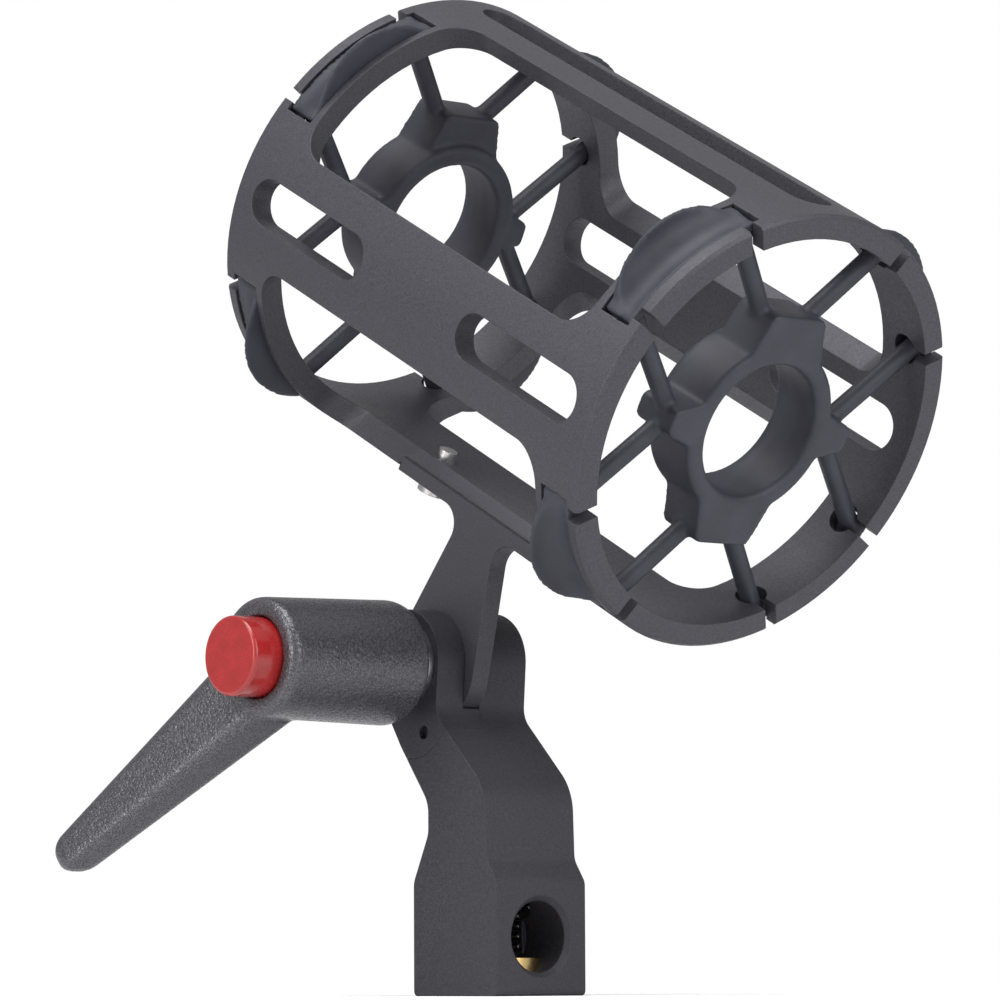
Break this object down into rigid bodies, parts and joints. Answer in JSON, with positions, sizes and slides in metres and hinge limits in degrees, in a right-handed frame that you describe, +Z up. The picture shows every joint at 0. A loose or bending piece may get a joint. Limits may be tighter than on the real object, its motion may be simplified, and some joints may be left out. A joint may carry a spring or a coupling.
{
  "type": "microphone shock mount",
  "caption": "Slotted round cage with rubber suspension hubs for a shotgun microphone, on a tilting neck with a clamp lever and a threaded pole adaptor.",
  "frame": {"origin": "on the axis of the pole thread, in the bottom face of the adaptor", "axes": "+X towards the back of the cage, +Y towards the clamp lever, +Z up along the pole thread"},
  "size_m": [0.1177, 0.0901, 0.1567],
  "materials": {
    "cage_anodised": "bead-blasted and black anodised",
    "adaptor_anodised": "bead-blasted and black anodised",
    "insert_brass": "turned",
    "pin_steel": "oiled",
    "bolt_blackened": "blackened",
    "washer_steel": "zinc plated",
    "insert_blackened": "blackened",
    "lever_coating": "coarse black powder coat",
    "screw_steel": "nickel plated",
    "button_red": "red, satin gloss",
    "spring_steel": "bright wire",
    "suspension_rubber": "matt blue-black elastomer"
  },
  "bodies": {
    "adaptor": {"pole_adaptor": "adaptor_anodised", "thread_insert": "insert_brass", "jaw_pin": "pin_steel", "pivot_bolt": "bolt_blackened"},
    "head": {"cage_frame": "cage_anodised", "neck_bracket": "cage_anodised", "foot_screw_front": "screw_steel", "foot_screw_rear": "screw_steel", "suspension_front": "suspension_rubber", "suspension_rear": "suspension_rubber"},
    "jaw": {"clamp_jaw": "adaptor_anodised"},
    "washer": {"thrust_washer": "washer_steel"},
    "lever": {"lever_insert": "insert_blackened", "lever_handle": "lever_coating", "lever_screw": "screw_steel", "button_spring": "spring_steel"},
    "button": {"push_button": "button_red"}
  },
  "joints": [
    {"name": "cage_tilt", "type": "hinge", "parent": "adaptor", "child": "head", "pos_m": [0.0111, 0, 0.0512], "axis": [0, 1, 0], "range_deg": [-45, 110]},
    {"name": "jaw_release", "type": "slide", "parent": "adaptor", "child": "jaw", "axis": [0, 1, 0], "range_m": [0, 0.00025]},
    {"name": "lever_lift", "type": "slide", "parent": "adaptor", "child": "washer", "axis": [0, 1, 0], "range_m": [0, 0.0005]},
    {"name": "lever_turn", "type": "hinge", "parent": "washer", "child": "lever", "pos_m": [0.0111, 0, 0.0512], "axis": [0, 1, 0], "range_deg": [0, 180]},
    {"name": "button_press", "type": "slide", "parent": "lever", "child": "button", "axis": [0, -1, 0], "range_m": [0, 0.0035], "stiffness_N_per_m": 300, "springref_m": -0.002, "deforming": ["button_spring"]}
  ],
  "couplings": [
    {"joint": "jaw_release", "follows": "lever_turn", "m_per_rad": 0.000079498},
    {"joint": "lever_lift", "follows": "lever_turn", "m_per_rad": 0.000159}
  ]
}
